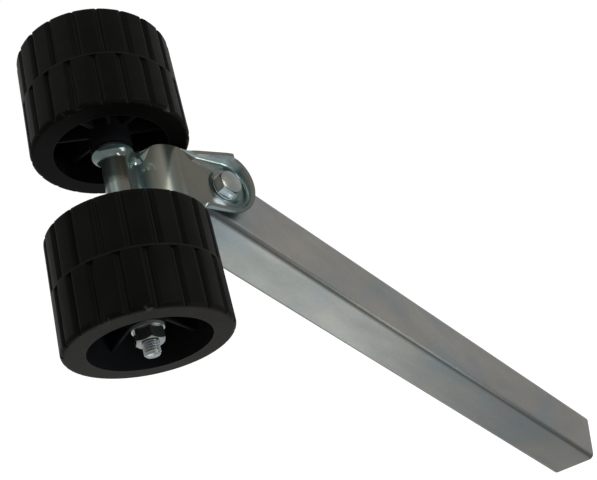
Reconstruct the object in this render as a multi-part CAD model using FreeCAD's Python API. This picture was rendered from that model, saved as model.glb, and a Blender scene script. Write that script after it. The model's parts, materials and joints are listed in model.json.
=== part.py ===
import FreeCAD, Part
import math
import os

# Double side roller for a boat trailer, in millimetres.
# +Z runs up the stem, +X points to the near roller's side and +Y to the front cheek of the rocker,
# the one that holds the pivot bolt's head.
# Parts are built about the middle of the stem's foot, the rocker and all that it carries upright about
# the pivot and then tipped to its rest tilt. Last, all is shifted so that the origin lies on the stem's
# face on the far roller's side, in the middle of the stretch that the trailer's clamp bears on.

# Stem, a square tube
STEM_WIDTH = 40.0
STEM_WALL = 3.0
STEM_CORNER_RADIUS = 4.5
PIVOT_HEIGHT = 386.0
STEM_ABOVE_PIVOT = 20.0
CLAMP_ABOVE_FOOT = 60.0

# Rocker, one pressed strap
REST_TILT = 26.5
AXLE_ABOVE_PIVOT = 62.0
SHEET = 2.5
LOOP_HALF_WIDTH = 28.0
LOOP_FLARE_RADIUS = 7.0
LOOP_FLARE_ANGLE = 65.0
WAIST_GAP = 0.4
WAIST_FILLET_RADIUS = 5.0
SHOULDER_DROP = 17.0
SHOULDER_SLOPE = 8.0
SHOULDER_BEND_RADIUS = 14.0
SHOULDER_END_HALF_WIDTH = 22.5
SHOULDER_MIDDLE_HALF_WIDTH = 24.5
FLAT_RIM_ANGLE = 2.0
CHEEK_HALF_WIDTH = 20.5
CHEEK_GAP = 3.5
CHEEK_TOP = 20.0
RIM_BEND_RADIUS = 2.0
RIM_LIP = 0.5
CHEEK_RIM_START = 4.0
CHEEK_RIM_PEAK = 10.0
CHEEK_RIM_PEAK_DROP = 4.5
CHEEK_RIM_STEP = 3.0
CHEEK_RIM_END = 7.5
CHEEK_RIM_LOW = 3.0
DISH_RADIUS = 13.5
DISH_FLOOR_RADIUS = 10.5
DISH_BEND_RADIUS = 2.0
DISH_TO_STEM = 1.5

# Axle set
AXLE_DIAMETER = 10.0
SLEEVE_DIAMETER = 12.0
RUNNING_CLEARANCE = 0.1
SEAT_CLEARANCE = 0.05
END_PLAY = 0.3
AXLE_BEYOND_NUT = 7.5
AXLE_END_CHAMFER = 1.2

# Rollers
ROLLER_DIAMETER = 98.0
ROLLER_WIDTH = 73.0
ROLLER_TO_LOOP = 1.5
ROLLER_SHOULDER_RADIUS = 3.0
RIB_COUNT = 20
RIB_DEPTH = 2.2
RIB_TOP_SHARE = 0.58
RIB_ROOT_SHARE = 0.94
RIB_FLANK_CROWN = 0.35
RIB_SEAM = 1.2
RIM_WALL = 13.5
RIM_DRAFT = 1.5
WEB_THICKNESS = 6.0
HUB_DIAMETER = 26.0
HUB_OUTER_RECESS = 11.5
HUB_OUTER_END_DIAMETER = 20.0
SPOKE_COUNT = 8
SPOKE_THICKNESS = 3.0
SPOKE_RECESS = 11.4
SPOKE_OUTER_HUB_RECESS = 18.0
SPOKE_EDGE_RADIUS = 1.2
SPOKE_FROM_RIB_GAP = 4.5
# How far each roller has turned, in degrees from straight up towards the front
NEAR_ROLLER_TURN = 2.9
FAR_ROLLER_TURN = 57.2

# M10 hardware
WASHER_DIAMETER = 19.0
WASHER_THICKNESS = 2.0
SLEEVE_WASHER_DIAMETER = 20.0
SLEEVE_WASHER_THICKNESS = 1.0
HEX_WIDTH = 16.0
NUT_HEIGHT = 8.0
NUT_TURN = 32.0
LOCK_COLLAR_HEIGHT = 2.5
LOCK_COLLAR_DIAMETER = 14.5
BOLT_HEAD_HEIGHT = 6.4
HEX_CHAMFER_ANGLE = 30.0
HEX_CROWN_SHARE = 0.97
PIVOT_BOLT_BEYOND_NUT = 2.5

# How far a cutting shape reaches past what it cuts
CUT_MARGIN = 1.0

X_AXIS = FreeCAD.Vector(1, 0, 0)
Y_AXIS = FreeCAD.Vector(0, 1, 0)
Z_AXIS = FreeCAD.Vector(0, 0, 1)
PIVOT = FreeCAD.Vector(0, 0, PIVOT_HEIGHT)
TO_CLAMP_FACE = FreeCAD.Vector(STEM_WIDTH / 2, 0, -CLAMP_ABOVE_FOOT)

# Sizes that follow from the ones above
SLEEVE_RADIUS = SLEEVE_DIAMETER / 2
LOOP_RADIUS = SLEEVE_RADIUS + SEAT_CLEARANCE + SHEET
WAIST_HALF = WAIST_GAP / 2 + SHEET
CHEEK_FACE = STEM_WIDTH / 2 + CHEEK_GAP + SHEET
DISH_FACE = STEM_WIDTH / 2 + DISH_TO_STEM + SHEET
DISH_BLANK_RADIUS = DISH_RADIUS + DISH_BEND_RADIUS
ROLLER_FACE = LOOP_HALF_WIDTH + ROLLER_TO_LOOP
ROLLER_RADIUS = ROLLER_DIAMETER / 2
HUB_INNER_END = LOOP_HALF_WIDTH + SLEEVE_WASHER_THICKNESS + END_PLAY
HUB_OUTER_END = ROLLER_FACE + ROLLER_WIDTH - HUB_OUTER_RECESS
OUTER_WASHER_SEAT = HUB_OUTER_END + END_PLAY
AXLE_NUT_SEAT = OUTER_WASHER_SEAT + WASHER_THICKNESS
AXLE_END = AXLE_NUT_SEAT + NUT_HEIGHT + AXLE_BEYOND_NUT
PIVOT_HEAD_SEAT = DISH_FACE + WASHER_THICKNESS

# Sections of the strap: half width, radius and angle of the edge's bend, length of the straight lip beyond it
LOOP_SIZE = (LOOP_HALF_WIDTH, LOOP_FLARE_RADIUS, LOOP_FLARE_ANGLE, RIM_LIP)
WALL_SIZE = (LOOP_HALF_WIDTH, RIM_BEND_RADIUS, FLAT_RIM_ANGLE, RIM_LIP)
SHOULDER_SIZE = (SHOULDER_END_HALF_WIDTH, RIM_BEND_RADIUS, FLAT_RIM_ANGLE, RIM_LIP)
CHEEK_SIZE = (CHEEK_HALF_WIDTH, RIM_BEND_RADIUS, 90.0, CHEEK_RIM_START - RIM_BEND_RADIUS)
CHEEK_BLANK_SIZE = (CHEEK_HALF_WIDTH, RIM_BEND_RADIUS, 90.0, CHEEK_RIM_PEAK - RIM_BEND_RADIUS)


def vec(x, y, z):
    return FreeCAD.Vector(x, y, z)


def face_of(points):
    return Part.Face(Part.makePolygon(points + [points[0]]))


def cylinder_x(radius, start, end):
    return Part.makeCylinder(radius, end - start, vec(start, 0, 0), X_AXIS)


def cylinder_y(radius, start, end):
    return Part.makeCylinder(radius, end - start, vec(0, start, 0), Y_AXIS)


def tube_x(outer_radius, inner_radius, start, end):
    return cylinder_x(outer_radius, start, end).cut(cylinder_x(inner_radius, start, end))


def tube_y(outer_radius, inner_radius, start, end):
    return cylinder_y(outer_radius, start, end).cut(cylinder_y(inner_radius, start, end))


def at_axle(shape):
    return shape.translated(vec(0, 0, AXLE_ABOVE_PIVOT))


def mirrored_x(shape):
    return shape.mirror(vec(0, 0, 0), X_AXIS)


def mirrored_y(shape):
    return shape.mirror(vec(0, 0, 0), Y_AXIS)


def on_rocker(shape):
    tipped = shape.rotated(vec(0, 0, 0), Y_AXIS, REST_TILT)
    return tipped.translated(PIVOT)


def rounded_square(width, radius, height):
    half = width / 2
    block = Part.makeBox(width, width, height, vec(-half, -half, 0))
    upright = [e for e in block.Edges if abs(e.tangentAt(e.FirstParameter).z) > 0.5]
    return block.makeFillet(radius, upright)


def stem_tube():
    height = PIVOT_HEIGHT + STEM_ABOVE_PIVOT
    outside = rounded_square(STEM_WIDTH, STEM_CORNER_RADIUS, height)
    inside = rounded_square(STEM_WIDTH - 2 * STEM_WALL, STEM_CORNER_RADIUS - STEM_WALL, height)
    hole = cylinder_y(SLEEVE_RADIUS + RUNNING_CLEARANCE, -STEM_WIDTH, STEM_WIDTH).translated(PIVOT)
    return outside.cut(inside).cut(hole)


# The strap's section is a shallow channel: flat, with both edges turned outwards into rims.
# It is drawn across (x) and along the outward normal (h), then set at a station of the bend line.
def channel_wire(size, origin, normal):
    half_width, bend, rim_angle, lip_length = size
    turn = math.radians(rim_angle)
    outer_bend = bend + SHEET
    foot = half_width - outer_bend * math.sin(turn) - lip_length * math.cos(turn)

    def at(side, x, h):
        return vec(side * x, origin.y + h * normal.y, origin.z + h * normal.z)

    def on_bend(side, radius, angle, lip):
        across = foot + radius * math.sin(angle) + lip * math.cos(angle)
        return at(side, across, bend - radius * math.cos(angle) + lip * math.sin(angle))

    edges = []
    for side in (1, -1):
        arcs = []
        for radius in (bend, outer_bend):
            points = [on_bend(side, radius, share * turn, 0.0) for share in (0.0, 0.5, 1.0)]
            arcs.append(Part.Arc(*points).toShape())
        inner_corner = on_bend(side, bend, turn, lip_length)
        outer_corner = on_bend(side, outer_bend, turn, lip_length)
        inside_lip = Part.makeLine(on_bend(side, bend, turn, 0.0), inner_corner)
        lip_end = Part.makeLine(inner_corner, outer_corner)
        outside_lip = Part.makeLine(outer_corner, on_bend(side, outer_bend, turn, 0.0))
        edges.append([arcs[0], inside_lip, lip_end, outside_lip, arcs[1]])
    top = Part.makeLine(at(-1, foot, 0), at(1, foot, 0))
    bottom = Part.makeLine(at(1, foot, -SHEET), at(-1, foot, -SHEET))
    return Part.Wire([top] + edges[0] + [bottom] + list(reversed(edges[1])))


def direction(angle):
    turn = math.radians(angle)
    return vec(0, math.sin(turn), math.cos(turn))


# Centres of the bends on the front side, for a normal that turns from straight up (0) to straight ahead (90)
LOOP_CENTRE = vec(0, 0, AXLE_ABOVE_PIVOT)
WAIST_OFFSET = WAIST_HALF + WAIST_FILLET_RADIUS
WAIST_REACH = LOOP_RADIUS + WAIST_FILLET_RADIUS
WAIST_CENTRE = LOOP_CENTRE + vec(0, WAIST_OFFSET, -math.sqrt(WAIST_REACH ** 2 - WAIST_OFFSET ** 2))
LOOP_TURN = 180.0 - math.degrees(math.asin(WAIST_OFFSET / WAIST_REACH))
SHOULDER_TOP = AXLE_ABOVE_PIVOT - SHOULDER_DROP
SHOULDER_CENTRE = vec(0, WAIST_OFFSET, SHOULDER_TOP + WAIST_FILLET_RADIUS)


def bend_station(centre, radius, angle, hollow):
    normal = direction(angle)
    reach = -radius if hollow else radius
    return centre + normal * reach, normal


def loop_section(origin, normal):
    return Part.Face(channel_wire(LOOP_SIZE, origin, normal))


def loop_half():
    origin, normal = bend_station(LOOP_CENTRE, LOOP_RADIUS, 0.0, False)
    return loop_section(origin, normal).revolve(LOOP_CENTRE, X_AXIS, -LOOP_TURN)


def waist_bend():
    origin, normal = bend_station(WAIST_CENTRE, WAIST_FILLET_RADIUS, 90.0, True)
    return loop_section(origin, normal).revolve(WAIST_CENTRE, X_AXIS, -(LOOP_TURN - 90.0))


def waist_straight():
    origin = vec(0, WAIST_HALF, SHOULDER_CENTRE.z)
    return loop_section(origin, Y_AXIS).extrude(vec(0, 0, WAIST_CENTRE.z - SHOULDER_CENTRE.z))


# The shoulder leads from the waist out to the cheek: a hollow bend, a steep wall and a broad round bend.
# The flare fades out on the wall, the strap narrows on the round bend, and the cheek's rim grows after it.
def shoulder():
    hollow_start, hollow_normal = bend_station(SHOULDER_CENTRE, WAIST_FILLET_RADIUS, 90.0, True)
    wall_start, wall_normal = bend_station(SHOULDER_CENTRE, WAIST_FILLET_RADIUS, SHOULDER_SLOPE, True)
    along = vec(0, wall_normal.z, -wall_normal.y)
    round_reach = SHOULDER_BEND_RADIUS * (1 - wall_normal.y)
    wall_end = wall_start + along * ((CHEEK_FACE - round_reach - wall_start.y) / along.y)
    round_centre = wall_end - wall_normal * SHOULDER_BEND_RADIUS
    round_end = round_centre + Y_AXIS * SHOULDER_BEND_RADIUS
    hollow = loop_section(hollow_start, hollow_normal).revolve(SHOULDER_CENTRE, X_AXIS, 90.0 - SHOULDER_SLOPE)
    wall = narrowing(LOOP_SIZE, wall_start, WALL_SIZE, wall_end, wall_normal)
    section = Part.Face(channel_wire(WALL_SIZE, wall_end, wall_normal))
    outer_bend = section.revolve(round_centre, X_AXIS, -(90.0 - SHOULDER_SLOPE))
    outer_bend = outer_bend.cut(shoulder_trim(wall_end.z, round_centre.z))
    first = narrowing(SHOULDER_SIZE, round_end, CHEEK_SIZE, vec(0, CHEEK_FACE, CHEEK_TOP), Y_AXIS)
    return [hollow, wall, outer_bend, first]


# Cuts the round bend's edges to a curve that draws in from the loop's width to the cheek's
def shoulder_trim(top, bottom):
    middle = (top + bottom) / 2
    far = 2 * LOOP_HALF_WIDTH
    sides = []
    for side in (1, -1):
        start = vec(side * LOOP_HALF_WIDTH, 0, top)
        end = vec(side * SHOULDER_END_HALF_WIDTH, 0, bottom)
        below = vec(side * SHOULDER_END_HALF_WIDTH, 0, bottom - CUT_MARGIN)
        curve = Part.Arc(start, vec(side * SHOULDER_MIDDLE_HALF_WIDTH, 0, middle), end).toShape()
        corners = [end, below, vec(side * far, 0, below.z), vec(side * far, 0, top), start]
        outline = Part.Face(Part.Wire([curve] + Part.makePolygon(corners).Edges))
        sides.append(outline.extrude(Y_AXIS * 2 * CHEEK_FACE))
    return Part.makeCompound(sides)


def narrowing(start_size, start, end_size, end, normal):
    wires = [channel_wire(start_size, start, normal), channel_wire(end_size, end, normal)]
    return Part.makeLoft(wires, True, True)


# The cheek's rim is trimmed. On the far roller's side its free edge climbs towards the pivot and ends in a
# corner, on the near side it sinks a little, and round the end it falls from the one height to the other.
def rim_trim():
    beyond = 2 * CHEEK_HALF_WIDTH
    top = CHEEK_FACE + 2 * CHEEK_RIM_PEAK
    start = CHEEK_FACE + CHEEK_RIM_START
    high = CHEEK_FACE + CHEEK_RIM_END
    low = CHEEK_FACE + CHEEK_RIM_LOW
    end_start = -CHEEK_RIM_PEAK_DROP - CHEEK_RIM_STEP
    inside = CHEEK_HALF_WIDTH - SHEET
    far_side = [
        vec(-beyond, start, CHEEK_TOP),
        vec(-beyond, CHEEK_FACE + CHEEK_RIM_PEAK, -CHEEK_RIM_PEAK_DROP),
        vec(-beyond, high, end_start),
        vec(-beyond, top, end_start),
        vec(-beyond, top, CHEEK_TOP),
    ]
    near_side = [
        vec(0, start, CHEEK_TOP),
        vec(0, low, end_start),
        vec(0, top, end_start),
        vec(0, top, CHEEK_TOP),
    ]
    end = [
        vec(-beyond, high, -beyond),
        vec(-inside, high, -beyond),
        vec(inside, low, -beyond),
        vec(beyond, low, -beyond),
        vec(beyond, top, -beyond),
        vec(-beyond, top, -beyond),
    ]
    sides = face_of(far_side).extrude(X_AXIS * beyond).fuse(face_of(near_side).extrude(X_AXIS * beyond))
    return sides.fuse(face_of(end).extrude(Z_AXIS * (beyond + end_start)))


def cheek_tray():
    section = Part.Face(channel_wire(CHEEK_BLANK_SIZE, vec(0, CHEEK_FACE, 0), Y_AXIS))
    straight = section.extrude(vec(0, 0, CHEEK_TOP))
    keep = Part.makeBox(CHEEK_HALF_WIDTH * 2, CHEEK_FACE * 2, 2 * CUT_MARGIN, vec(0, 0, -CUT_MARGIN))
    half_section = section.common(keep)
    rounded = half_section.Faces[0].revolve(vec(0, 0, 0), Y_AXIS, 180.0)
    return straight.fuse(rounded).cut(rim_trim())


# A round dish is pressed into the cheek round the pivot, down to the stem's side
def pivot_dish():
    slope = math.atan2(CHEEK_FACE - DISH_FACE, DISH_RADIUS - DISH_FLOOR_RADIUS)
    shift = SHEET * math.tan(slope / 2)
    bore = AXLE_DIAMETER / 2 + RUNNING_CLEARANCE
    rim = DISH_BLANK_RADIUS
    outline = [
        vec(bore, DISH_FACE, 0),
        vec(DISH_FLOOR_RADIUS, DISH_FACE, 0),
        vec(DISH_RADIUS, CHEEK_FACE, 0),
        vec(rim, CHEEK_FACE, 0),
        vec(rim, CHEEK_FACE - SHEET, 0),
        vec(DISH_RADIUS + shift, CHEEK_FACE - SHEET, 0),
        vec(DISH_FLOOR_RADIUS + shift, DISH_FACE - SHEET, 0),
        vec(bore, DISH_FACE - SHEET, 0),
    ]
    solid = face_of(outline).revolve(vec(0, 0, 0), Y_AXIS, 360.0)
    circles = [e for e in solid.Edges if e.Closed and isinstance(e.Curve, Part.Circle)]
    wall_ends = [e for e in circles if bore + CUT_MARGIN < e.Curve.Radius < rim - CUT_MARGIN]
    return solid.makeFillet(DISH_BEND_RADIUS, wall_ends)


def cheek():
    opening = cylinder_y(DISH_BLANK_RADIUS, 0, CHEEK_FACE * 2)
    return cheek_tray().cut(opening).fuse(pivot_dish())


def rocker_bracket():
    front = [loop_half(), waist_bend(), waist_straight()] + shoulder() + [cheek()]
    back = [mirrored_y(piece) for piece in front]
    strap = front[0].fuse(front[1:] + back)
    return on_rocker(strap.removeSplitter())


def axle_sleeve():
    bore = AXLE_DIAMETER / 2 + RUNNING_CLEARANCE
    return on_rocker(at_axle(tube_x(SLEEVE_RADIUS, bore, -OUTER_WASHER_SEAT, OUTER_WASHER_SEAT)))


def axle_rod():
    rod = cylinder_x(AXLE_DIAMETER / 2, -AXLE_END, AXLE_END)
    rims = [e for e in rod.Edges if e.Closed]
    return on_rocker(at_axle(rod.makeChamfer(AXLE_END_CHAMFER, rims)))


# The tread is two rings of broad ribs that meet at a seam, each ring half a pitch round from the other.
# The valley between two ribs is a V whose flanks swell a little, so that the ribs' shoulders are soft.
def tread_valley(start, end):
    pitch = math.radians(360.0 / RIB_COUNT)
    top_half = pitch * (1 - RIB_TOP_SHARE) / 2
    root_half = pitch * (1 - RIB_ROOT_SHARE) / 2
    root_radius = ROLLER_RADIUS - RIB_DEPTH
    beyond = ROLLER_RADIUS + CUT_MARGIN

    def at(radius, angle):
        return vec(start, radius * math.sin(angle), radius * math.cos(angle))

    edges = []
    for side in (-1, 1):
        top = at(ROLLER_RADIUS, side * top_half)
        root = at(root_radius, side * root_half)
        swell = (top + root) / 2 + vec(0, -side * RIB_FLANK_CROWN, RIB_FLANK_CROWN)
        edges.append(Part.Arc(root, swell, top).toShape())
        edges.append(Part.makeLine(top, at(beyond, side * top_half)))
    edges.append(Part.makeLine(at(beyond, -top_half), at(beyond, top_half)))
    edges.append(Part.makeLine(at(root_radius, -root_half), at(root_radius, root_half)))
    outline = Part.Face(Part.Wire(Part.__sortEdges__(edges)))
    return outline.extrude(vec(end - start, 0, 0))


def tread_valleys():
    middle = ROLLER_WIDTH / 2
    pitch = 360.0 / RIB_COUNT
    valleys = []
    half_seam = RIB_SEAM / 2
    inner_ring = (-CUT_MARGIN, middle - half_seam, 0.0)
    outer_ring = (middle + half_seam, ROLLER_WIDTH + CUT_MARGIN, 0.5)
    for start, end, shift in (inner_ring, outer_ring):
        valley = tread_valley(start, end)
        for number in range(RIB_COUNT):
            turn = SPOKE_FROM_RIB_GAP + (number + shift) * pitch
            valleys.append(valley.rotated(vec(0, 0, 0), X_AXIS, turn))
    return valleys


def roller_profile():
    rim_radius = ROLLER_RADIUS - RIM_WALL
    web_start = (ROLLER_WIDTH - WEB_THICKNESS) / 2
    draft = web_start * math.tan(math.radians(RIM_DRAFT))
    bore = SLEEVE_RADIUS + RUNNING_CLEARANCE
    hub = HUB_DIAMETER / 2

    inner_hub = [(HUB_INNER_END - ROLLER_FACE, bore), (HUB_INNER_END - ROLLER_FACE, hub)]
    outer_hub = [
        (HUB_OUTER_RECESS, bore),
        (HUB_OUTER_RECESS, HUB_OUTER_END_DIAMETER / 2),
        (SPOKE_OUTER_HUB_RECESS, hub),
    ]

    def half(hub_end):
        return hub_end + [
            (web_start, hub),
            (web_start, rim_radius - draft),
            (0.0, rim_radius),
            (0.0, ROLLER_RADIUS),
        ]

    points = [vec(x, 0, r) for x, r in half(inner_hub)]
    points += [vec(ROLLER_WIDTH - x, 0, r) for x, r in reversed(half(outer_hub))]
    return face_of(points)


# A spoke reaches from the hub into the rim. On the outer side it falls from the rim towards the hub.
def spokes():
    inner = HUB_DIAMETER / 2 - SPOKE_THICKNESS / 2
    fall_start = ROLLER_RADIUS - RIM_WALL
    outer = fall_start + SPOKE_THICKNESS
    side = -SPOKE_THICKNESS / 2
    corners = [
        vec(SPOKE_RECESS, side, inner),
        vec(SPOKE_RECESS, side, outer),
        vec(ROLLER_WIDTH - SPOKE_RECESS, side, outer),
        vec(ROLLER_WIDTH - SPOKE_RECESS, side, fall_start),
        vec(ROLLER_WIDTH - SPOKE_OUTER_HUB_RECESS, side, inner),
    ]
    spoke = face_of(corners).extrude(Y_AXIS * SPOKE_THICKNESS)
    long_edges = [e for e in spoke.Edges if abs(e.tangentAt(e.FirstParameter).z) > 0.5]
    spoke = spoke.makeFillet(SPOKE_EDGE_RADIUS, long_edges)
    turn = 360.0 / SPOKE_COUNT
    return [spoke.rotated(vec(0, 0, 0), X_AXIS, number * turn) for number in range(SPOKE_COUNT)]


# Both rollers are one moulding. It lies along +X from its inner face at the origin, a spoke straight up.
def roller():
    body = roller_profile().revolve(vec(0, 0, 0), X_AXIS, 360.0)
    shoulders = [e for e in body.Edges if e.Closed and abs(e.Curve.Radius - ROLLER_RADIUS) < 1e-6]
    body = body.makeFillet(ROLLER_SHOULDER_RADIUS, shoulders)
    return body.fuse(spokes()).cut(tread_valleys())


def near_roller(moulding):
    turned = moulding.rotated(vec(0, 0, 0), X_AXIS, -NEAR_ROLLER_TURN)
    return on_rocker(at_axle(turned.translated(vec(ROLLER_FACE, 0, 0))))


def far_roller(moulding):
    turned = moulding.rotated(vec(0, 0, 0), X_AXIS, -FAR_ROLLER_TURN)
    return on_rocker(at_axle(mirrored_x(turned.translated(vec(ROLLER_FACE, 0, 0)))))


def inner_washer():
    bore = SLEEVE_RADIUS + RUNNING_CLEARANCE
    end = LOOP_HALF_WIDTH + SLEEVE_WASHER_THICKNESS
    return at_axle(tube_x(SLEEVE_WASHER_DIAMETER / 2, bore, LOOP_HALF_WIDTH, end))


def outer_washer():
    bore = AXLE_DIAMETER / 2 + RUNNING_CLEARANCE
    end = OUTER_WASHER_SEAT + WASHER_THICKNESS
    return at_axle(tube_x(WASHER_DIAMETER / 2, bore, OUTER_WASHER_SEAT, end))


# A hexagon along +X from the origin, its outer corners turned off at one end or at both
def hexagon(height, both_ends):
    corner = HEX_WIDTH / math.sqrt(3)
    points = []
    for number in range(6):
        turn = math.radians(60.0 * number)
        points.append(vec(0, corner * math.cos(turn), corner * math.sin(turn)))
    prism = face_of(points).extrude(vec(height, 0, 0))
    crown = HEX_WIDTH / 2 * HEX_CROWN_SHARE
    drop = (corner - crown) * math.tan(math.radians(HEX_CHAMFER_ANGLE))
    start = drop if both_ends else 0.0
    lathe = [vec(0, 0, 0), vec(0, crown if both_ends else corner, 0), vec(start, corner, 0)]
    lathe += [vec(height - drop, corner, 0), vec(height, crown, 0), vec(height, 0, 0)]
    if not both_ends:
        lathe.pop(2)
    return prism.common(face_of(lathe).revolve(vec(0, 0, 0), X_AXIS, 360.0))


def axle_nut():
    bore = cylinder_x(AXLE_DIAMETER / 2 + SEAT_CLEARANCE, -CUT_MARGIN, NUT_HEIGHT + CUT_MARGIN)
    nut = hexagon(NUT_HEIGHT, True).cut(bore).rotated(vec(0, 0, 0), X_AXIS, -NUT_TURN)
    return at_axle(nut.translated(vec(AXLE_NUT_SEAT, 0, 0)))


# The same hexagon set along +Y, for the pivot
def along_y(shape):
    return shape.rotated(vec(0, 0, 0), Z_AXIS, 90.0)


def pivot_bolt():
    head = along_y(hexagon(BOLT_HEAD_HEIGHT, False)).translated(vec(0, PIVOT_HEAD_SEAT, 0))
    end = PIVOT_HEAD_SEAT + NUT_HEIGHT + LOCK_COLLAR_HEIGHT + PIVOT_BOLT_BEYOND_NUT
    shank = cylinder_y(AXLE_DIAMETER / 2, -end, PIVOT_HEAD_SEAT)
    tip = [e for e in shank.Edges if e.Closed and e.CenterOfMass.y < 0]
    return on_rocker(head.fuse(shank.makeChamfer(AXLE_END_CHAMFER, tip)))


def pivot_washer():
    bore = AXLE_DIAMETER / 2 + RUNNING_CLEARANCE
    return tube_y(WASHER_DIAMETER / 2, bore, DISH_FACE, PIVOT_HEAD_SEAT)


def pivot_lock_nut():
    height = NUT_HEIGHT + LOCK_COLLAR_HEIGHT
    nut = along_y(hexagon(NUT_HEIGHT, False)).fuse(cylinder_y(LOCK_COLLAR_DIAMETER / 2, 0, height))
    nut = nut.cut(cylinder_y(AXLE_DIAMETER / 2 + SEAT_CLEARANCE, -CUT_MARGIN, height + CUT_MARGIN))
    return on_rocker(mirrored_y(nut.translated(vec(0, PIVOT_HEAD_SEAT, 0))))


def pivot_sleeve():
    bore = AXLE_DIAMETER / 2 + RUNNING_CLEARANCE
    end = DISH_FACE - SHEET
    return on_rocker(tube_y(SLEEVE_RADIUS, bore, -end, end))


MOULDING = roller()
NODES = {
    "stem_tube": stem_tube(),
    "rocker_bracket": rocker_bracket(),
    "axle_sleeve": axle_sleeve(),
    "axle_rod": axle_rod(),
    "near_roller": near_roller(MOULDING),
    "far_roller": far_roller(MOULDING),
    "near_inner_washer": on_rocker(inner_washer()),
    "far_inner_washer": on_rocker(mirrored_x(inner_washer())),
    "near_outer_washer": on_rocker(outer_washer()),
    "far_outer_washer": on_rocker(mirrored_x(outer_washer())),
    "near_axle_nut": on_rocker(axle_nut()),
    "far_axle_nut": on_rocker(mirrored_x(axle_nut())),
    "pivot_bolt": pivot_bolt(),
    "front_pivot_washer": on_rocker(pivot_washer()),
    "back_pivot_washer": on_rocker(mirrored_y(pivot_washer())),
    "pivot_lock_nut": pivot_lock_nut(),
    "pivot_sleeve": pivot_sleeve(),
}

os.makedirs("parts", exist_ok=True)
for name, built in NODES.items():
    shape = built.translated(TO_CLAMP_FACE)
    shape.exportStep("parts/" + name + ".step")
    print(name, "solids", len(shape.Solids), "valid", shape.isValid(), "cm3", round(shape.Volume / 1000, 2))
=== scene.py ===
import json
import math

import bmesh
import bpy
from mathutils import Matrix, Vector


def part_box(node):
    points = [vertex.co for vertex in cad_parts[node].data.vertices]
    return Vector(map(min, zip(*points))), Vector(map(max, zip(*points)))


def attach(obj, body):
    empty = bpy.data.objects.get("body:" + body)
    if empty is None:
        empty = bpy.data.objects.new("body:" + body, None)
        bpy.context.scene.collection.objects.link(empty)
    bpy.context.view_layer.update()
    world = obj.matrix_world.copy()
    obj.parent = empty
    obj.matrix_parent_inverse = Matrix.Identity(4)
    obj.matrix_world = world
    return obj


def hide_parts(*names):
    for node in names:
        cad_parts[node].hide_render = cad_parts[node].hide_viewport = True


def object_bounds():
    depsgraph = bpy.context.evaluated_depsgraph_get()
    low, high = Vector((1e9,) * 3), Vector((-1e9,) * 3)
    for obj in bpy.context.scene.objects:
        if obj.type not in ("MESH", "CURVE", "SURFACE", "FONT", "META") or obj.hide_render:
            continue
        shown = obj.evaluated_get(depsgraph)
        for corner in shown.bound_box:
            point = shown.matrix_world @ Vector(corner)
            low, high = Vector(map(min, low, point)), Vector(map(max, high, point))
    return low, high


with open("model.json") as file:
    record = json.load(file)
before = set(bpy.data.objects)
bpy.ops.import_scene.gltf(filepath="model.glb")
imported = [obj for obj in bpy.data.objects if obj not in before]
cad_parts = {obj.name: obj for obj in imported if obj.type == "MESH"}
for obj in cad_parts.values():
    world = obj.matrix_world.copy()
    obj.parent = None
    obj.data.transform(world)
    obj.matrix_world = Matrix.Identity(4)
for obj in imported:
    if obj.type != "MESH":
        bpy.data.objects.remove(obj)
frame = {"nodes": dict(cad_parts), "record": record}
cad_low, cad_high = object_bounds()
nodes = frame["nodes"]
joints = {joint["name"]: joint for joint in frame["record"]["behaviour"]["joints"]}

# Lengths are in metres and angles in degrees.
PIVOT = Vector(joints["rocker_tilt"]["pos_m"])
PIVOT_AXIS = Vector(joints["rocker_tilt"]["axis"]).normalized()
AXLE = Vector(joints["near_roller_spin"]["pos_m"])
AXLE_AXIS = Vector(joints["near_roller_spin"]["axis"]).normalized()
ROCKER_UP = (AXLE - PIVOT).normalized()

roller_low, roller_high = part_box("near_roller")
ROLLER_RADIUS = (roller_high.y - roller_low.y) / 2
ROLLER_MIDDLE = abs(((roller_low + roller_high) / 2 - AXLE).dot(AXLE_AXIS))

# Camera: place from the axle's middle, axes, lens and sensor in millimetres, and the photograph in pixels
CAMERA_FROM_AXLE = Vector((0.370598, 0.35422, 0.111984))
CAMERA_RIGHT = Vector((-0.09271, 0.64227, -0.76085))
CAMERA_UP = Vector((-0.72443, 0.48072, 0.49408))
CAMERA_LENS = 50.96
CAMERA_SENSOR = 36.0
CAMERA_SEES_FROM = 0.01
CAMERA_SEES_TO = 50.0
PHOTO_WIDTH = 597
PHOTO_HEIGHT = 480
OPTICAL_MIDDLE = (298.5, 262.0)

# M10 threads, how finely they are drawn, and the bolt's turn about its axis to its place in the photograph
THREAD_RADIUS = 0.005
THREAD_PITCH = 0.0015
THREAD_DEPTH = 0.00092
THREAD_STEPS = 40
THREAD_SLICES = 8
FLANK_RISE = 1.25
ROOT_FLAT = 0.06
END_CHAMFER = 0.0012
AXLE_THREAD_LENGTH = 0.026
BOLT_THREAD_LENGTH = 0.022
BOLT_TURN = 8.4
SAME_POINT = 1e-6
AXLE_SHARP_EDGE = 50
BOLT_SHARP_EDGE = 35

# Stem: heights over which it gets darker towards its foot, and clouds in a metre along each axis
STEM_FOOT = (-0.03, 0.17)
STEM_CLOUDS = (24.0, 24.0, 7.0)

# A pair is a soft edge, from where it begins to where it is complete.

# Strap: heights from the pivot towards the axle
PINCH_TOP = (0.0575, 0.060)
PINCH_FOOT = (0.0442, 0.0458)
RIM_TOP = (0.026, 0.030)
SHADE_TOP = (0.0, 0.009)
DISH_FLOOR_FOOT = (-0.006, 0.002)
HIGHLIGHT_PATCH_UP = 0.0085

# Strap: distances from the pivot along the axle, larger towards the near roller
STRAP_MIDDLE = (-0.002, 0.002)
DISH_SHADE_SIDE = (-0.005, 0.001)
DISH_FLOOR_SIDE = (0.004, 0.009)
HIGHLIGHT_PATCH_SIDEWAYS = 0.0145

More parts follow.
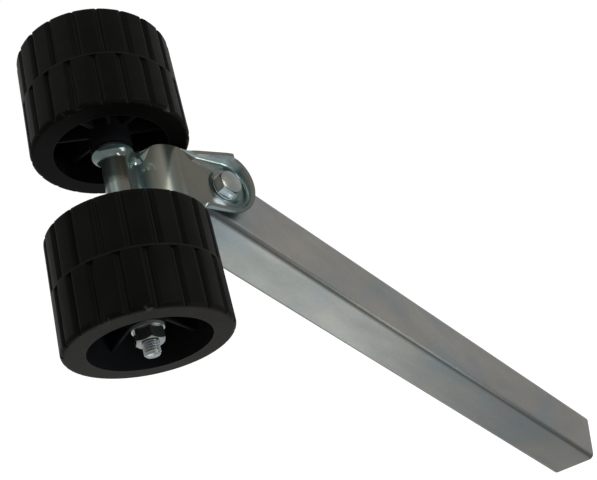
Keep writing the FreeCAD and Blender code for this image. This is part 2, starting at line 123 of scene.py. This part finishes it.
# Strap and bolt: distances to the front, along the pivot's axis
SHADE_FRONT = (0.0275, 0.0310)
WASHER_BACK = (0.0210, 0.0215)
WASHER_FRONT = (0.0250, 0.0255)
HIGHLIGHT_PATCH_FRONT = 0.026

# Strap: distances from the pivot's axis, and from the middle of the painted highlight patch, where noise
# frays its edge
DISH_EDGE = (0.0125, 0.0140)
HIGHLIGHT_PATCH = PIVOT + ROCKER_UP * HIGHLIGHT_PATCH_UP + AXLE_AXIS * HIGHLIGHT_PATCH_SIDEWAYS + PIVOT_AXIS * HIGHLIGHT_PATCH_FRONT
HIGHLIGHT_PATCH_EDGE = (0.00475, 0.0095)
HIGHLIGHT_PATCH_FRAY = 0.006

# Roller: the recess, the seam, and soft edges of the outer faces and grooves that get painted light, and of
# the worn corners
RECESS_EDGE = (0.0356, 0.0362)
SEAM_EDGE = (0.0004, 0.0008)
OUTER_HALF = (ROLLER_MIDDLE, ROLLER_MIDDLE + 0.010)
GROOVE_DEPTH = (ROLLER_RADIUS - 0.0022, ROLLER_RADIUS - 0.0006)
WORN_EDGE = (ROLLER_RADIUS - 0.0045, ROLLER_RADIUS - 0.0015)

# Soft edges of how much a face turns to a direction: 1 faces it, 0 lies along it
TOWARDS = (0.6, 0.85)
PARTLY_TOWARDS = (0.25, 0.5)
FACING_UP = (0.65, 0.9)
FLAT_SHEET = (0.975, 0.998)
BENT_SHEET = (0.6, 0.96)
STEM_SIDE = (0.3, 0.9)
STEM_SHADED_CORNER = (0.25, 0.48)
HARDWARE_SIDE = (0.1, 0.5)
HEAD_FACE = (0.93, 0.97)
HEAD_CHAMFER = (0.6, 0.75)
HEAD_HIGHLIGHT_FLAT = (0.6, 0.9)
ROLLER_FACE = (0.75, 0.97)
ROLLER_TREAD = (0.1, 0.3)
ROLLER_CORNER = (0.02, 0.3)

# Soft edges of noise, where worn spots and scuffs begin
SPOTS = (0.56, 0.66)
SCUFFS = (0.52, 0.66)

# How far the plate's roughness wanders to both sides, and how much smoother the rubber is in its recesses
PLATE_ROUGHNESS_SPREAD = 0.08
RECESS_SMOOTHER = 0.2

# Studio: brightness 1 is white
WHITE = (1.0, 1.0, 1.0)
COOL_WHITE = (0.94, 1.0, 1.03)
WORLD_LIGHT = 0.5
FLOOR_BELOW = 0.30
FLOOR_HALF_SIZE = 8.0
FLOOR_GLOW = 0.9
FLOOR_COLOUR = (0.3, 0.3, 0.3)


def make_camera():
    """The photograph's camera."""
    data = bpy.data.cameras.new("camera")
    data.sensor_fit = "HORIZONTAL"
    data.sensor_width = CAMERA_SENSOR
    data.lens = CAMERA_LENS
    data.shift_x = (PHOTO_WIDTH / 2 - OPTICAL_MIDDLE[0]) / PHOTO_WIDTH
    data.shift_y = (OPTICAL_MIDDLE[1] - PHOTO_HEIGHT / 2) / PHOTO_WIDTH
    data.clip_start = CAMERA_SEES_FROM
    data.clip_end = CAMERA_SEES_TO
    camera = bpy.data.objects.new("camera", data)
    bpy.context.scene.collection.objects.link(camera)
    right = CAMERA_RIGHT.normalized()
    up = (CAMERA_UP - right * CAMERA_UP.dot(right)).normalized()
    turn = Matrix((right, up, right.cross(up))).transposed()
    camera.matrix_world = Matrix.Translation(AXLE + CAMERA_FROM_AXLE) @ turn.to_4x4()
    bpy.context.scene.camera = camera


class Nodes:
    """Builds one node tree. A value for a node is a number, a colour, a vector or another node's output."""

    # The colour sockets of the node that mixes
    MIX_A, MIX_B, MIX_RESULT = 6, 7, 2

    def __init__(self, tree):
        self.tree = tree
        tree.nodes.clear()

    def add(self, kind, **values):
        node = self.tree.nodes.new(kind)
        for name, value in values.items():
            setattr(node, name, value)
        return node

    def put(self, source, socket):
        """Links an output to a socket, or sets the socket to a plain value."""
        if hasattr(source, "is_output"):
            self.tree.links.new(source, socket)
        elif hasattr(source, "__len__") and len(socket.default_value) == 4:
            socket.default_value = (*source, 1.0)
        else:
            socket.default_value = source

    def math(self, operation, a, b=0.0, clamp=False):
        node = self.add("ShaderNodeMath", operation=operation, use_clamp=clamp)
        self.put(a, node.inputs[0])
        self.put(b, node.inputs[1])
        return node.outputs[0]

    def times(self, first, *others):
        for other in others:
            first = self.math("MULTIPLY", first, other)
        return first

    def most(self, first, *others):
        for other in others:
            first = self.math("MAXIMUM", first, other)
        return first

    def between(self, mask, outside, inside):
        """One number where the mask is 0 and another where it is 1."""
        return self.math("SUBTRACT", outside, self.times(mask, outside - inside))

    def vector(self, operation, a, b=(0.0, 0.0, 0.0)):
        node = self.add("ShaderNodeVectorMath", operation=operation)
        self.put(a, node.inputs[0])
        self.put(b, node.inputs[1])
        return node.outputs["Value" if operation in ("DOT_PRODUCT", "LENGTH", "DISTANCE") else "Vector"]

    def along(self, vector, axis):
        """How far a vector reaches along an axis."""
        return self.vector("DOT_PRODUCT", vector, axis)

    def from_axis(self, vector, axis):
        """How far a vector's end lies from an axis."""
        return self.vector("LENGTH", self.vector("CROSS_PRODUCT", vector, axis))

    def step(self, source, edge, before, after):
        """Goes smoothly from one number to another over a soft edge."""
        node = self.add("ShaderNodeMapRange", interpolation_type="SMOOTHSTEP")
        self.put(source, node.inputs["Value"])
        node.inputs["From Min"].default_value, node.inputs["From Max"].default_value = edge
        node.inputs["To Min"].default_value = before
        node.inputs["To Max"].default_value = after
        return node.outputs[0]

    def above(self, source, edge):
        """1 above a soft edge, 0 below it."""
        return self.step(source, edge, 0.0, 1.0)

    def below(self, source, edge):
        """1 below a soft edge, 0 above it."""
        return self.step(source, edge, 1.0, 0.0)

    def noise(self, vector, scale, detail=2.0, rough=0.5, warp=0.0):
        node = self.add("ShaderNodeTexNoise")
        self.put(vector, node.inputs["Vector"])
        node.inputs["Scale"].default_value = scale
        node.inputs["Detail"].default_value = detail
        node.inputs["Roughness"].default_value = rough
        node.inputs["Distortion"].default_value = warp
        return node.outputs["Fac"]

    def ramp(self, source, stops):
        """Colour that goes with a value, from a few (value, colour) stops."""
        node = self.add("ShaderNodeValToRGB")
        self.put(source, node.inputs[0])
        elements = node.color_ramp.elements
        while len(elements) < len(stops):
            elements.new(1.0)
        for element, (place, colour) in zip(elements, stops):
            element.position = place
            element.color = (*colour, 1.0)
        return node.outputs[0]

    def mix(self, factor, a, b, kind="MIX"):
        node = self.add("ShaderNodeMix", data_type="RGBA", blend_type=kind)
        self.put(factor, node.inputs[0])
        self.put(a, node.inputs[self.MIX_A])
        self.put(b, node.inputs[self.MIX_B])
        return node.outputs[self.MIX_RESULT]

    def paint(self, mask, colour, new, strength=1.0):
        """The colour, with a new one over it where the mask is 1."""
        factor = mask if strength == 1.0 else self.times(mask, strength)
        return self.mix(factor, colour, new)

    def tint(self, mask, colour, by, strength=1.0):
        """The colour, multiplied by another one where the mask is 1."""
        return self.paint(mask, colour, self.mix(1.0, colour, by, "MULTIPLY"), strength)

    def bump(self, height, strength, distance):
        node = self.add("ShaderNodeBump")
        node.inputs["Strength"].default_value = strength
        node.inputs["Distance"].default_value = distance
        self.put(height, node.inputs["Height"])
        return node.outputs[0]

    def scaled(self, place, scale):
        """The same place, multiplied by scale along each axis."""
        node = self.add("ShaderNodeMapping")
        self.put(place, node.inputs["Vector"])
        node.inputs["Scale"].default_value = scale
        return node.outputs[0]


class Look(Nodes):
    """A new material with one shader, and the place and normal of each point in the part's own frame."""

    def __init__(self, name):
        self.material = bpy.data.materials.new(name)
        self.material.use_nodes = True
        super().__init__(self.material.node_tree)
        self.shader = self.add("ShaderNodeBsdfPrincipled")
        output = self.add("ShaderNodeOutputMaterial")
        self.put(self.shader.outputs[0], output.inputs["Surface"])
        coordinates = self.add("ShaderNodeTexCoord")
        self.place = coordinates.outputs["Object"]
        self.normal = coordinates.outputs["Normal"]

    def facing(self, axis):
        """1 where a point's face looks along an axis, -1 where it looks the other way."""
        return self.along(self.normal, axis)

    def set(self, name, value):
        self.put(value, self.shader.inputs[name])


def zinc(name, plain, blue, straw, tint, clouds, roughness, metallic):
    """A look of zinc plate, and its colour: grey with blue and straw-coloured clouds and a fine grain.

    tint is the clouds' strength, and clouds is their number in a metre."""
    look = Look(name)
    hue = look.noise(look.place, scale=clouds, detail=3.0, rough=0.55, warp=0.6)
    hue = look.ramp(hue, [(0.36, blue), (0.5, plain), (0.64, straw)])
    grain = look.noise(look.place, scale=420.0, detail=3.0, rough=0.6)
    grain = look.ramp(grain, [(0.3, (0.94, 0.94, 0.94)), (0.7, (1.03, 1.03, 1.03))])
    colour = look.mix(1.0, look.mix(tint, plain, hue), grain, "MULTIPLY")
    patches = look.noise(look.place, scale=45.0, detail=4.0, rough=0.6)
    smoothest, roughest = roughness - PLATE_ROUGHNESS_SPREAD, roughness + PLATE_ROUGHNESS_SPREAD
    look.set("Roughness", look.between(patches, smoothest, roughest))
    look.set("Metallic", metallic)
    dents = look.noise(look.place, scale=300.0, detail=3.0)
    look.set("Normal", look.bump(dents, strength=0.06, distance=0.001))
    return look, colour


def stem_zinc():
    """Satin plate with long soft clouds, bluer on the near roller's side, painted shade on the rounded
    corners, and darker towards the foot.
    """
    look, colour = zinc("stem_zinc_look", plain=(0.155, 0.152, 0.14), blue=(0.125, 0.143, 0.15),
                        straw=(0.178, 0.168, 0.148), tint=0.75, clouds=14.0, roughness=0.36, metallic=0.85)
    long_clouds = look.scaled(look.place, STEM_CLOUDS)
    long_clouds = look.noise(long_clouds, scale=1.0, detail=3.0, rough=0.6, warp=0.5)
    long_clouds = look.ramp(long_clouds, [(0.3, (0.83, 0.84, 0.86)), (0.7, (1.12, 1.11, 1.10))])
    colour = look.mix(1.0, colour, long_clouds, "MULTIPLY")
    facing_x = look.facing((1.0, 0.0, 0.0))
    facing_y = look.facing((0.0, 1.0, 0.0))
    height = look.along(look.place, (0.0, 0.0, 1.0))
    colour = look.tint(look.above(facing_x, STEM_SIDE), colour, (0.98, 1.03, 1.04))
    colour = look.tint(look.below(height, STEM_FOOT), colour, (0.78, 0.765, 0.755))
    # Painted shade: the rounded corners of the tube are darkened
    corner = look.above(look.math("ABSOLUTE", look.times(facing_x, facing_y)), STEM_SHADED_CORNER)
    colour = look.tint(corner, colour, (0.36, 0.36, 0.34))
    look.set("Base Color", colour)
    return look.material


def bracket_zinc():
    """Bright plate: olive grey on the flats, blue-green where the sheet is bent hard, and a painted bluish
    shade in the pinch.

    Painted highlights, light and less metallic, lie on the bends below the pinch, the rim's inner side, the
    dish's floor and a patch beside the dish. Painted blue-green shade lies in the dish and round it, and
    painted shade darkens the top of the loop and its flared edge."""
    metallic, highlight_metallic = 0.65, 0.30
    look, colour = zinc("bracket_zinc_look", plain=(0.088, 0.087, 0.071), blue=(0.077, 0.092, 0.092),
                        straw=(0.108, 0.097, 0.073), tint=0.6, clouds=26.0, roughness=0.17,
                        metallic=metallic)
    painted_highlight_colour = (0.50, 0.60, 0.61)
    from_pivot = look.vector("SUBTRACT", look.place, PIVOT)
    height = look.along(from_pivot, ROCKER_UP)
    sideways = look.along(from_pivot, AXLE_AXIS)
    radius = look.from_axis(from_pivot, PIVOT_AXIS)
    front = look.along(look.place, PIVOT_AXIS)
    facing_up = look.facing(ROCKER_UP)
    facing_sideways = look.facing(AXLE_AXIS)
    flat = look.math("ABSOLUTE", look.facing(PIVOT_AXIS))
    above_pinch = look.above(height, PINCH_TOP)

    # Bends are blue-green, with painted bluish shade in the pinch; flats a little darker, and painted shade
    # makes the top of the loop darker still
    # Painted shade: a bluish shade in the pinch; the hard bends get a blue-green tint
    pinch = look.times(look.above(height, PINCH_FOOT), look.below(height, PINCH_TOP))
    bent = look.most(look.below(flat, BENT_SHEET), pinch)
    colour = look.tint(bent, colour, (1.7, 2.4, 2.8), strength=0.8)
    colour = look.tint(look.above(flat, FLAT_SHEET), colour, (0.87, 0.87, 0.87))
    # Painted shade: the top of the loop is darkened
    shaded_crown = look.times(look.above(facing_up, FACING_UP), above_pinch)
    shaded_crown = look.times(shaded_crown, look.below(facing_sideways, PARTLY_TOWARDS))
    colour = look.tint(shaded_crown, colour, (0.48, 0.46, 0.45))

    # Painted highlights on the bends below the pinch and on the rim's inner side, and painted shade on the
    # flared edge round the sleeve
    painted_highlight_bend = look.times(look.above(facing_up, TOWARDS), look.below(height, PINCH_FOOT))
    colour = look.paint(painted_highlight_bend, colour, (0.43, 0.43, 0.36))
    # Painted highlight: the rim's inner side on the far half is light
    rim = look.times(look.above(facing_sideways, TOWARDS), look.below(height, RIM_TOP))
    rim = look.times(rim, look.below(sideways, STRAP_MIDDLE))
    colour = look.paint(rim, colour, (0.52, 0.60, 0.61), strength=0.85)
    # Painted shade: the flared edge round the sleeve is darkened
    shaded_flare = look.times(look.above(facing_sideways, PARTLY_TOWARDS), above_pinch)
    colour = look.tint(shaded_flare, colour, (0.72, 0.72, 0.72))

    # Painted blue-green shade in the dish and round it, a painted highlight on the dish's floor, and a
    # frayed painted highlight patch beside the dish
    dish = look.below(radius, DISH_EDGE)
    # Painted shade: a blue-green tint in the dish
    dish_painted_shade = look.times(dish, look.above(sideways, DISH_SHADE_SIDE))
    colour = look.tint(dish_painted_shade, colour, (0.6, 0.95, 1.1))
    # Painted highlight: the dish's floor is light and less metallic
    dish_floor_highlight = look.above(height, DISH_FLOOR_FOOT)
    dish_floor_highlight = look.times(dish, look.above(sideways, DISH_FLOOR_SIDE), dish_floor_highlight)
    colour = look.paint(dish_floor_highlight, colour, painted_highlight_colour, strength=0.75)
    # Painted shade: darker blue-green round the dish, off the rim
    painted_shade_round_dish = look.times(look.above(radius, DISH_EDGE), look.below(height, SHADE_TOP))
    painted_shade_round_dish = look.times(painted_shade_round_dish, look.math("SUBTRACT", look.below(front, SHADE_FRONT), rim, clamp=True))
    colour = look.tint(painted_shade_round_dish, colour, (0.44, 0.66, 0.72))
    # Painted highlight: a light, less metallic patch beside the dish, frayed by noise
    fray = look.times(look.noise(look.place, scale=300.0, detail=3.0, rough=0.7), HIGHLIGHT_PATCH_FRAY)
    from_highlight_patch = look.math("ADD", look.vector("DISTANCE", look.place, HIGHLIGHT_PATCH), fray)
    painted_highlight_patch = look.below(from_highlight_patch, HIGHLIGHT_PATCH_EDGE)
    colour = look.paint(painted_highlight_patch, colour, painted_highlight_colour, strength=0.9)

    # The painted highlights are also less metallic
    painted_highlights = look.most(painted_highlight_bend, rim, dish_floor_highlight, painted_highlight_patch)
    look.set("Metallic", look.between(painted_highlights, metallic, highlight_metallic))
    look.set("Base Color", colour)
    return look.material


def hardware_zinc():
    """Nuts, bolt, rod, sleeves and small washers, with painted shade on the sides: lighter on their end
    faces, darker and bluer on the sides.

    The bolt's head has less metallic flats, a painted highlight on the flat on the near roller's side,
    painted shade on its chamfered edge, and a dark washer under it."""
    metallic, flats_metallic = 0.85, 0.25
    look, colour = zinc("hardware_zinc_look", plain=(0.20, 0.205, 0.19), blue=(0.12, 0.155, 0.175),
                        straw=(0.23, 0.215, 0.18), tint=0.7, clouds=60.0, roughness=0.2,
                        metallic=metallic)
    facing_sideways = look.facing(AXLE_AXIS)
    across_axle = look.math("ABSOLUTE", facing_sideways)
    across_pivot = look.math("ABSOLUTE", look.facing(PIVOT_AXIS))
    # Painted shade: the sides are darker and bluer
    side = look.below(look.most(across_axle, across_pivot), HARDWARE_SIDE)
    colour = look.tint(side, colour, (0.85, 1.15, 1.25))

    front = look.along(look.place, PIVOT_AXIS)
    head = look.above(front, WASHER_FRONT)
    face = look.times(head, look.above(across_pivot, HEAD_FACE))
    colour = look.tint(face, colour, (0.93, 0.91, 0.86))
    # Painted shade: the head's chamfered edge is darkened over its highlight
    painted_dark_chamfer = look.times(head, look.above(across_pivot, HEAD_CHAMFER), look.below(across_pivot, HEAD_FACE))
    colour = look.tint(painted_dark_chamfer, colour, (0.12, 0.12, 0.115))
    # Painted highlight: the head's flat on the near roller's side is light
    flats = look.times(head, look.below(across_pivot, HARDWARE_SIDE))
    highlight_flat = look.above(facing_sideways, HEAD_HIGHLIGHT_FLAT)
    colour = look.paint(flats, colour, look.mix(highlight_flat, (0.27, 0.27, 0.235), (0.66, 0.74, 0.78)))
    washer = look.times(look.above(front, WASHER_BACK), look.below(front, WASHER_FRONT))
    colour = look.tint(washer, colour, (0.5, 0.62, 0.68))
    look.set("Metallic", look.between(flats, metallic, flats_metallic))
    look.set("Base Color", colour)
    return look.material


def washer_zinc():
    """Duller, lighter plate of the washers under the axle's nuts."""
    look, colour = zinc("washer_zinc_look", plain=(0.36, 0.37, 0.36), blue=(0.28, 0.32, 0.34),
                        straw=(0.39, 0.37, 0.33), tint=0.5, clouds=60.0, roughness=0.25, metallic=0.55)
    look.set("Base Color", colour)
    return look.material


def rubber():
    """Black moulded rubber, with painted light on the outer faces and in the grooves, and lighter along the
    seam.

    It is worn at the corners, and smoother inside the recesses, where painted light makes it lighter and a
    little bluer."""
    groove_and_seam_colour, recess, scuffed = (0.0105, 0.0100, 0.0080), (0.0095, 0.0098, 0.0105), (0.16, 0.155, 0.14)
    look = Look("roller_rubber_look")
    from_axle = look.vector("SUBTRACT", look.place, AXLE)
    radius = look.from_axis(from_axle, AXLE_AXIS)
    from_middle = look.math("ABSOLUTE", look.along(from_axle, AXLE_AXIS))
    from_seam = look.math("ABSOLUTE", look.math("SUBTRACT", from_middle, ROLLER_MIDDLE))
    facing = look.math("ABSOLUTE", look.facing(AXLE_AXIS))
    inside = look.below(radius, RECESS_EDGE)

    clouds = look.noise(look.place, scale=55.0, detail=3.0)
    tread = look.ramp(clouds, [(0.3, (0.0022, 0.0022, 0.0018)), (0.7, (0.0036, 0.0035, 0.0030))])
    painted_light_face = look.ramp(clouds, [(0.3, (0.0098, 0.0088, 0.0070)), (0.7, (0.0130, 0.0118, 0.0094))])
    # Painted light: the grooves are lighter; the seam line is lighter too
    groove = look.times(look.below(radius, GROOVE_DEPTH), look.below(facing, ROLLER_TREAD))
    seam = look.below(from_seam, SEAM_EDGE)
    lightened_grooves_and_seam = look.most(look.times(groove, 0.8), look.times(seam, 0.6))
    lightened_grooves_and_seam = look.math("SUBTRACT", lightened_grooves_and_seam, inside, clamp=True)
    colour = look.paint(lightened_grooves_and_seam, tread, groove_and_seam_colour)
    # Painted light: the recesses are lighter and a little bluer
    colour = look.paint(inside, colour, recess)
    # Painted light: the outer faces are lighter
    outer = look.math("SUBTRACT", look.above(from_middle, OUTER_HALF), inside)
    painted_light_outer_face = look.math("MULTIPLY", look.above(facing, ROLLER_FACE), outer, clamp=True)
    colour = look.paint(painted_light_outer_face, colour, painted_light_face)

    corner = look.times(look.above(radius, WORN_EDGE), look.above(facing, ROLLER_CORNER))
    spots = look.above(look.noise(look.place, scale=26.0), SPOTS)
    scuffs = look.above(look.noise(look.place, scale=130.0, detail=5.0, rough=0.7, warp=0.8), SCUFFS)
    colour = look.paint(look.times(corner, spots, scuffs), colour, scuffed, strength=0.35)
    look.set("Base Color", colour)

    roughness = look.between(look.noise(look.place, scale=120.0, detail=3.0), 0.38, 0.52)
    look.set("Roughness", look.math("SUBTRACT", roughness, look.times(inside, RECESS_SMOOTHER)))
    look.set("Specular IOR Level", 0.02)
    look.set("Normal", look.bump(look.noise(look.place, scale=650.0), strength=0.10, distance=0.0004))
    return look.material


def dress(hardware):
    """Gives every plain piece its look: the hardware's, where no other is named."""
    black, washer = rubber(), washer_zinc()
    others = {"stem_tube": stem_zinc(), "rocker_bracket": bracket_zinc(), "near_roller": black,
              "far_roller": black, "near_outer_washer": washer, "far_outer_washer": washer}
    for name, node in nodes.items():
        for slot in node.material_slots:
            slot.material = others.get(name, hardware)


def thread_radius(from_end, turn, reach):
    """Radius of a threaded end: from_end is the distance from its tip, turn a part of a turn round the rod.

    reach is the thread's length. The thread fades out over its last turn."""
    from_root = abs((from_end / THREAD_PITCH + turn) % 1.0 - 0.5) * 2
    flank = min(1.0, max(0.0, from_root * FLANK_RISE - ROOT_FLAT))
    fade = min(1.0, (reach - from_end) / THREAD_PITCH)
    chamfered = THREAD_RADIUS - max(0.0, END_CHAMFER - from_end)
    return min(THREAD_RADIUS - THREAD_DEPTH * (1 - flank) * fade, chamfered)


def add_thread(bm, tip, direction, reach):
    """Adds a threaded end to a mesh and returns its first ring of points, where the plain rod goes on.

    tip is the middle of the rod's end, direction points out of the rod and reach is the thread's length."""
    side = direction.orthogonal().normalized()
    other = direction.cross(side)
    slices = round(reach / THREAD_PITCH * THREAD_SLICES)
    rings = []
    for k in range(slices + 1):
        from_end = reach * (1 - k / slices)
        ring = []
        for j in range(THREAD_STEPS):
            angle = 2 * math.pi * j / THREAD_STEPS
            out = side * math.cos(angle) + other * math.sin(angle)
            radius = thread_radius(from_end, j / THREAD_STEPS, reach)
            ring.append(bm.verts.new(tip - direction * from_end + out * radius))
        rings.append(ring)
    for inner, outer in zip(rings, rings[1:]):
        for j in range(THREAD_STEPS):
            k = (j + 1) % THREAD_STEPS
            bm.faces.new((inner[j], inner[k], outer[k], outer[j]))
    bm.faces.new(rings[-1])
    return rings[0]


def shade_smooth(bm, sharp_edge):
    """Smooth shading, with edges that turn by more than sharp_edge kept sharp."""
    for face in bm.faces:
        face.smooth = True
    for edge in bm.edges:
        edge.smooth = len(edge.link_faces) == 2 and edge.calc_face_angle() < math.radians(sharp_edge)


def finish_mesh(bm, name, material, stands_for):
    """Turns a mesh into a piece of hardware on the rocker that stands for a plain piece."""
    bmesh.ops.recalc_face_normals(bm, faces=bm.faces)
    mesh = bpy.data.meshes.new(name)
    bm.to_mesh(mesh)
    bm.free()
    mesh.materials.append(material)
    piece = bpy.data.objects.new(name, mesh)
    bpy.context.scene.collection.objects.link(piece)
    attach(piece, "rocker")
    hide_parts(stands_for)


def threaded_axle(material):
    """The axle rod with the threads that its nuts run on."""
    half_length = max((v.co - AXLE).dot(AXLE_AXIS) for v in nodes["axle_rod"].data.vertices)
    bm = bmesh.new()
    near, far = (add_thread(bm, AXLE + AXLE_AXIS * sign * half_length, AXLE_AXIS * sign, AXLE_THREAD_LENGTH)
                 for sign in (1, -1))
    # The far ring starts on the other side of the rod and runs the other way round
    far = [far[THREAD_STEPS // 2 - j] for j in range(THREAD_STEPS)]
    for j in range(THREAD_STEPS):
        k = (j + 1) % THREAD_STEPS
        bm.faces.new((near[j], near[k], far[k], far[j]))
    shade_smooth(bm, AXLE_SHARP_EDGE)
    finish_mesh(bm, "threaded_axle_rod", material, "axle_rod")


def threaded_bolt(material):
    """The pivot bolt, turned to its place in the photograph, with a thread in place of its plain end."""
    bm = bmesh.new()
    bm.from_mesh(nodes["pivot_bolt"].data)
    bmesh.ops.remove_doubles(bm, verts=bm.verts, dist=SAME_POINT)
    turn = Matrix.Rotation(math.radians(BOLT_TURN), 3, PIVOT_AXIS)
    bmesh.ops.rotate(bm, verts=bm.verts, cent=PIVOT, matrix=turn)
    tip = PIVOT + PIVOT_AXIS * min((v.co - PIVOT).dot(PIVOT_AXIS) for v in bm.verts)
    cut = tip + PIVOT_AXIS * (BOLT_THREAD_LENGTH + THREAD_PITCH)
    bmesh.ops.bisect_plane(bm, geom=bm.verts[:] + bm.edges[:] + bm.faces[:], plane_co=cut,
                           plane_no=PIVOT_AXIS, clear_inner=True)
    add_thread(bm, tip, -PIVOT_AXIS, BOLT_THREAD_LENGTH)
    bmesh.ops.bridge_loops(bm, edges=[edge for edge in bm.edges if edge.is_boundary])
    shade_smooth(bm, BOLT_SHARP_EDGE)
    finish_mesh(bm, "threaded_pivot_bolt", material, "pivot_bolt")


def seen_as_white(n):
    """1 for the rays that see the background: the camera's and those that metal or glass sends on."""
    rays = n.add("ShaderNodeLightPath").outputs
    return n.most(rays["Is Camera Ray"], rays["Is Glossy Ray"], rays["Is Transmission Ray"])


def make_world():
    """White where it is seen, and a dimmer light on the object."""
    world = bpy.data.worlds.new("studio")
    world.use_nodes = True
    n = Nodes(world.node_tree)
    background = n.add("ShaderNodeBackground")
    output = n.add("ShaderNodeOutputWorld")
    n.put(WHITE, background.inputs["Color"])
    n.put(n.between(seen_as_white(n), WORLD_LIGHT, 1.0), background.inputs["Strength"])
    n.put(background.outputs[0], output.inputs["Surface"])
    bpy.context.scene.world = world


def make_floor():
    """White paper: its own grey under the lamps keeps the shadow, its glow lifts the rest to white."""
    half, z = FLOOR_HALF_SIZE, cad_low.z - FLOOR_BELOW
    corners = [(-half, -half, z), (half, -half, z), (half, half, z), (-half, half, z)]
    mesh = bpy.data.meshes.new("floor")
    mesh.from_pydata(corners, [], [(0, 1, 2, 3)])
    floor = bpy.data.objects.new("floor", mesh)
    bpy.context.scene.collection.objects.link(floor)
    material = bpy.data.materials.new("floor_paper")
    material.use_nodes = True
    n = Nodes(material.node_tree)
    paper = n.add("ShaderNodeBsdfDiffuse")
    glow = n.add("ShaderNodeEmission")
    both = n.add("ShaderNodeAddShader")
    output = n.add("ShaderNodeOutputMaterial")
    n.put(FLOOR_COLOUR, paper.inputs["Color"])
    n.put(WHITE, glow.inputs["Color"])
    n.put(n.times(seen_as_white(n), FLOOR_GLOW), glow.inputs["Strength"])
    n.put(paper.outputs[0], both.inputs[0])
    n.put(glow.outputs[0], both.inputs[1])
    n.put(both.outputs[0], output.inputs["Surface"])
    mesh.materials.append(material)


def soft_box(name, azimuth, elevation, distance, size, brightness, colour=WHITE):
    """A lamp aimed halfway between axle and pivot; brightness 1 is as bright as the white background."""
    turn, rise = math.radians(azimuth), math.radians(elevation)
    out = Vector((math.cos(rise) * math.cos(turn), math.cos(rise) * math.sin(turn), math.sin(rise)))
    data = bpy.data.lights.new(name, "AREA")
    data.shape = "RECTANGLE"
    data.size, data.size_y = size
    data.energy = brightness * math.pi * size[0] * size[1]
    data.color = colour
    lamp = bpy.data.objects.new(name, data)
    bpy.context.scene.collection.objects.link(lamp)
    lamp.location = (AXLE + PIVOT) / 2 + out * distance
    lamp.rotation_mode = "QUATERNION"
    lamp.rotation_quaternion = (-out).to_track_quat("-Z", "Y")


def make_lamps():
    soft_box("top_lamp", azimuth=150.0, elevation=78.0, distance=1.4, size=(1.1, 1.1), brightness=1.4)
    soft_box("side_lamp", azimuth=98.0, elevation=0.0, distance=1.3, size=(0.9, 0.26), brightness=12.0)
    soft_box("low_lamp", azimuth=60.0, elevation=-44.0, distance=0.8, size=(0.4, 0.25), brightness=8.0,
             colour=COOL_WHITE)
    soft_box("front_lamp", azimuth=-43.0, elevation=-31.0, distance=0.92, size=(0.5, 0.4), brightness=2.2,
             colour=COOL_WHITE)


make_camera()
make_world()
make_floor()
make_lamps()
metal = hardware_zinc()
dress(metal)
threaded_axle(metal)
threaded_bolt(metal)

scene = bpy.context.scene
scene.view_settings.view_transform = "Standard"
